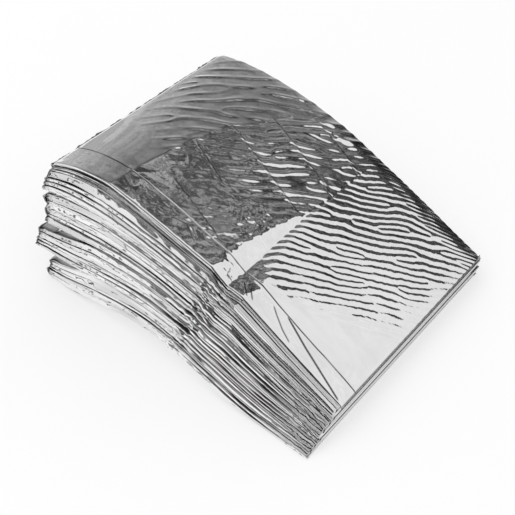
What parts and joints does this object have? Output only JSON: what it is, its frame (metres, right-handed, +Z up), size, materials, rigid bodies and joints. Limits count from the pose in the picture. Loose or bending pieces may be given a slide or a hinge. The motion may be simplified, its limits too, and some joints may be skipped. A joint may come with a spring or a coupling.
{
  "type": "folded rescue blanket",
  "caption": "Folded packet of aluminised film blanket: stacked leaves joined by zigzag folds, loose lobes at one end, pressed spine at the other.",
  "frame": {"origin": "bottom centre of the bounding box, on the plane the packet lies on", "axes": "+X from the loose lobe end to the pressed spine, +Y from the stepped side to the even side, +Z up through the leaves"},
  "size_m": [0.1348, 0.1088, 0.052],
  "materials": {
    "film_leaf": "mirror-bright vacuum-aluminised polyester film, finely wrinkled",
    "film_fold": "the same film where it turns round at a fold, creased and duller"
  },
  "bodies": {
    "layer_16": {"leaf_16": "film_leaf"},
    "layer_15": {"leaf_15": "film_leaf", "fold_15": "film_fold"},
    "layer_14": {"leaf_14": "film_leaf", "fold_14": "film_fold"},
    "layer_13": {"leaf_13": "film_leaf", "fold_13": "film_fold"},
    "layer_12": {"leaf_12": "film_leaf", "fold_12": "film_fold"},
    "layer_11": {"leaf_11": "film_leaf", "fold_11": "film_fold"},
    "layer_10": {"leaf_10": "film_leaf", "fold_10": "film_fold"},
    "layer_09": {"leaf_09": "film_leaf", "fold_09": "film_fold"},
    "layer_08": {"leaf_08": "film_leaf", "fold_08": "film_fold"},
    "layer_07": {"leaf_07": "film_leaf", "fold_07": "film_fold"},
    "layer_06": {"leaf_06": "film_leaf", "fold_06": "film_fold"},
    "layer_05": {"leaf_05": "film_leaf", "fold_05": "film_fold"},
    "layer_04": {"leaf_04": "film_leaf", "fold_04": "film_fold"},
    "layer_03": {"leaf_03": "film_leaf", "fold_03": "film_fold"},
    "layer_02": {"leaf_02": "film_leaf", "fold_02": "film_fold"},
    "layer_01": {"leaf_01": "film_leaf", "fold_01": "film_fold"}
  },
  "joints": [
    {"name": "unfold_15", "type": "hinge", "parent": "layer_16", "child": "layer_15", "pos_m": [-0.06116, 0, 0.00168], "axis": [0, -1, 0], "range_deg": [0, 171.2], "deforming": ["fold_15"]},
    {"name": "unfold_14", "type": "hinge", "parent": "layer_15", "child": "layer_14", "pos_m": [0.06619, 0, 0.00133], "axis": [0, 1, 0], "range_deg": [0, 171.2], "deforming": ["fold_14"]},
    {"name": "unfold_13", "type": "hinge", "parent": "layer_14", "child": "layer_13", "pos_m": [-0.06116, 0, 0.00504], "axis": [0, -1, 0], "range_deg": [0, 160.9], "deforming": ["fold_13"]},
    {"name": "unfold_12", "type": "hinge", "parent": "layer_13", "child": "layer_12", "pos_m": [0.06647, 0, 0.00263], "axis": [0, 1, 0], "range_deg": [0, 160.9], "deforming": ["fold_12"]},
    {"name": "unfold_11", "type": "hinge", "parent": "layer_12", "child": "layer_11", "pos_m": [-0.06567, 0, 0.015], "axis": [0, -1, 0], "range_deg": [0, 159.9], "deforming": ["fold_11"]},
    {"name": "unfold_10", "type": "hinge", "parent": "layer_11", "child": "layer_10", "pos_m": [0.06679, 0, 0.00387], "axis": [0, 1, 0], "range_deg": [0, 159.9], "deforming": ["fold_10"]},
    {"name": "unfold_09", "type": "hinge", "parent": "layer_10", "child": "layer_09", "pos_m": [-0.06567, 0, 0.0186], "axis": [0, -1, 0], "range_deg": [0, 157.1], "deforming": ["fold_09"]},
    {"name": "unfold_08", "type": "hinge", "parent": "layer_09", "child": "layer_08", "pos_m": [0.06619, 0, 0.00533], "axis": [0, 1, 0], "range_deg": [0, 157.1], "deforming": ["fold_08"]},
    {"name": "unfold_07", "type": "hinge", "parent": "layer_08", "child": "layer_07", "pos_m": [-0.06337, 0, 0.02658], "axis": [0, -1, 0], "range_deg": [0, 154.5], "deforming": ["fold_07"]},
    {"name": "unfold_06", "type": "hinge", "parent": "layer_07", "child": "layer_06", "pos_m": [0.06648, 0, 0.00656], "axis": [0, 1, 0], "range_deg": [0, 154.5], "deforming": ["fold_06"]},
    {"name": "unfold_05", "type": "hinge", "parent": "layer_06", "child": "layer_05", "pos_m": [-0.06337, 0, 0.03235], "axis": [0, -1, 0], "range_deg": [0, 152.7], "deforming": ["fold_05"]},
    {"name": "unfold_04", "type": "hinge", "parent": "layer_05", "child": "layer_04", "pos_m": [0.06679, 0, 0.00774], "axis": [0, 1, 0], "range_deg": [0, 152.7], "deforming": ["fold_04"]},
    {"name": "unfold_03", "type": "hinge", "parent": "layer_04", "child": "layer_03", "pos_m": [-0.06416, 0, 0.03918], "axis": [0, -1, 0], "range_deg": [0, 150.6], "deforming": ["fold_03"]},
    {"name": "unfold_02", "type": "hinge", "parent": "layer_03", "child": "layer_02", "pos_m": [0.06618, 0, 0.00933], "axis": [0, 1, 0], "range_deg": [0, 150.6], "deforming": ["fold_02"]},
    {"name": "unfold_01", "type": "hinge", "parent": "layer_02", "child": "layer_01", "pos_m": [-0.06416, 0, 0.04353], "axis": [0, -1, 0], "range_deg": [0, 149.3], "deforming": ["fold_01"]}
  ],
  "couplings": [
    {"joint": "unfold_14", "follows": "unfold_15", "ratio": 0.9375},
    {"joint": "unfold_12", "follows": "unfold_13", "ratio": 0.977},
    {"joint": "unfold_10", "follows": "unfold_11", "ratio": 0.986},
    {"joint": "unfold_08", "follows": "unfold_09", "ratio": 0.9707},
    {"joint": "unfold_06", "follows": "unfold_07", "ratio": 0.9825},
    {"joint": "unfold_04", "follows": "unfold_05", "ratio": 0.9784},
    {"joint": "unfold_02", "follows": "unfold_03", "ratio": 0.9846}
  ]
}
